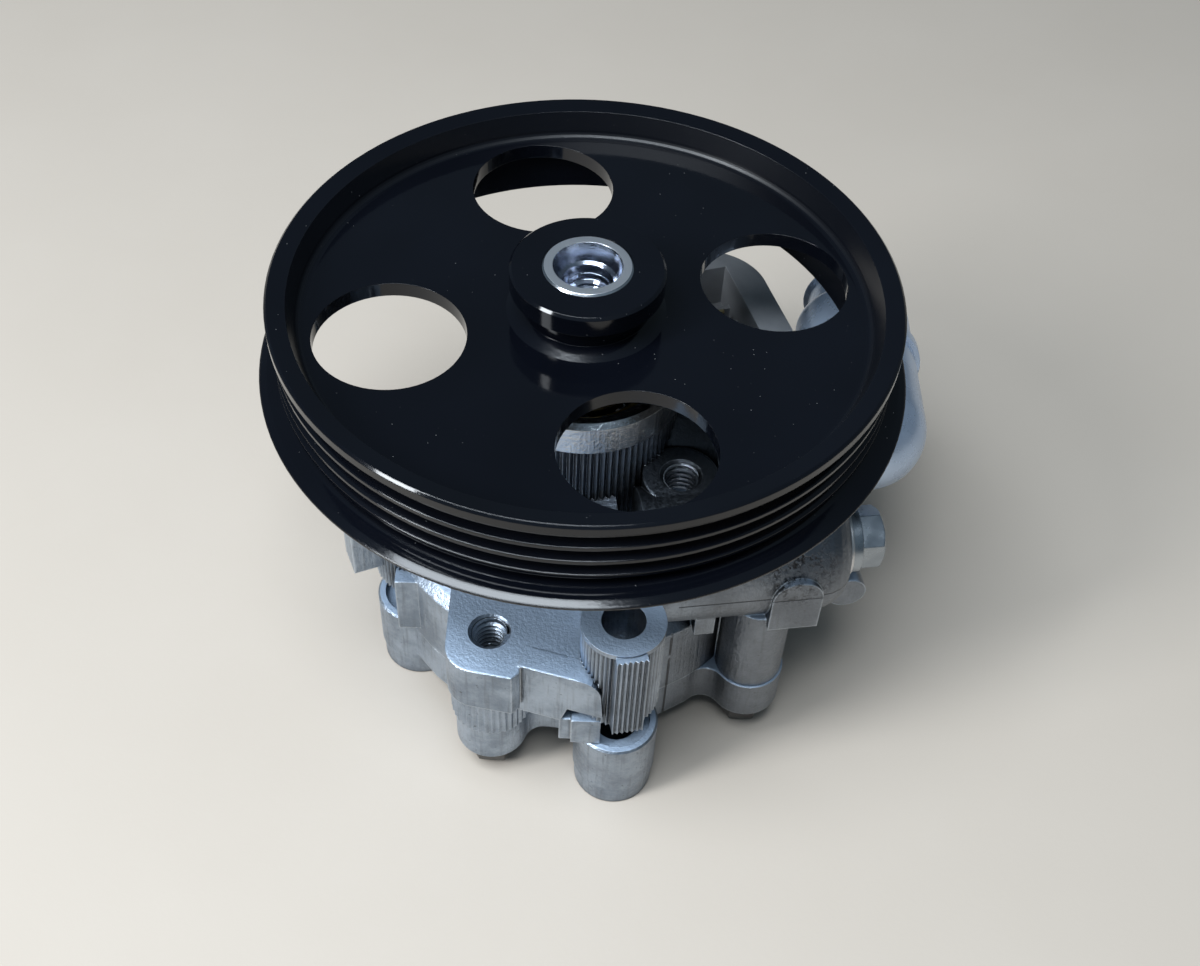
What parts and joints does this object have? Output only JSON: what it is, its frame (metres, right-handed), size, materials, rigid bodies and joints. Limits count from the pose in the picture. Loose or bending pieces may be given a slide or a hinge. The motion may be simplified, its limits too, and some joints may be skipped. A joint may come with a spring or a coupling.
{
  "type": "power steering pump",
  "caption": "Belt-driven vane pump for power steering: grooved pulley with windows on a cast housing with mounting columns, flow valve and inlet elbow.",
  "frame": {"origin": "on the shaft axis in the middle of the belt, inside the thread of the shaft end", "axes": "+Z along the shaft towards its threaded end, +X towards the valve plug and the inlet elbow, +Y away from the picture's camera"},
  "size_m": [0.1347, 0.124, 0.1],
  "materials": {
    "black_coat": "gloss black coat",
    "shaft_steel": "bright turned steel",
    "sintered_steel": "ground sintered steel",
    "spring_steel": "oiled spring steel",
    "bearing_steel": "polished bearing steel",
    "cage_brass": "pressed brass",
    "seal_rubber": "matt black nitrile",
    "bush_bronze": "sintered bronze",
    "cast_aluminium": "die-cast, machined on the nose and boss faces",
    "bolt_zinc": "dark plated steel",
    "plug_zinc": "bright zinc plate",
    "washer_aluminium": "soft aluminium",
    "satin_aluminium": "satin drawn tube",
    "dark_plastic": "matt moulded plastic",
    "terminal_brass": "tinned brass"
  },
  "bodies": {
    "housing": {"bearing_outer_ring": "bearing_steel", "bearing_retaining_ring": "spring_steel", "shaft_seal": "seal_rubber", "shaft_bushing": "bush_bronze", "front_housing": "cast_aluminium", "rear_cover": "cast_aluminium", "cover_bolts": "bolt_zinc", "thrust_plate": "sintered_steel", "cam_ring": "sintered_steel", "pressure_plate": "sintered_steel", "pressure_plate_spring": "spring_steel", "dowel_pins": "bearing_steel", "cover_o_ring": "seal_rubber", "plate_o_ring": "seal_rubber", "flow_valve_spring": "spring_steel", "valve_plug": "plug_zinc", "plug_washer": "washer_aluminium", "inlet_elbow": "satin_aluminium", "inlet_o_ring": "seal_rubber", "connector_housing": "dark_plastic", "connector_terminals": "terminal_brass"},
    "rotor_group": {"pulley": "black_coat", "drive_shaft": "shaft_steel", "rotor": "sintered_steel", "rotor_retaining_ring": "spring_steel", "bearing_inner_ring": "bearing_steel", "vane_1": "sintered_steel", "vane_2": "sintered_steel", "vane_3": "sintered_steel", "vane_4": "sintered_steel", "vane_5": "sintered_steel", "vane_6": "sintered_steel", "vane_7": "sintered_steel", "vane_8": "sintered_steel", "vane_9": "sintered_steel", "vane_10": "sintered_steel"},
    "cage_group": {"bearing_cage": "cage_brass", "bearing_ball_1": "bearing_steel", "bearing_ball_2": "bearing_steel", "bearing_ball_3": "bearing_steel", "bearing_ball_4": "bearing_steel", "bearing_ball_5": "bearing_steel", "bearing_ball_6": "bearing_steel", "bearing_ball_7": "bearing_steel", "bearing_ball_8": "bearing_steel"},
    "valve_spool": {"flow_valve_spool": "bearing_steel"}
  },
  "joints": [
    {"name": "rotor_spin", "type": "hinge", "parent": "housing", "child": "rotor_group", "pos_m": [0, 0, 0], "axis": [0, 0, 1], "continuous": true},
    {"name": "cage_spin", "type": "hinge", "parent": "housing", "child": "cage_group", "pos_m": [0, 0, -0.0165], "axis": [0, 0, 1], "continuous": true},
    {"name": "valve_slide", "type": "slide", "parent": "housing", "child": "valve_spool", "axis": [-0.9877, -0.1564, 0], "range_m": [0, 0.004], "stiffness_N_per_m": 3000, "springref_m": -0.004, "deforming": ["flow_valve_spring"]}
  ],
  "couplings": [
    {"joint": "cage_spin", "follows": "rotor_spin", "ratio": 0.4085}
  ]
}
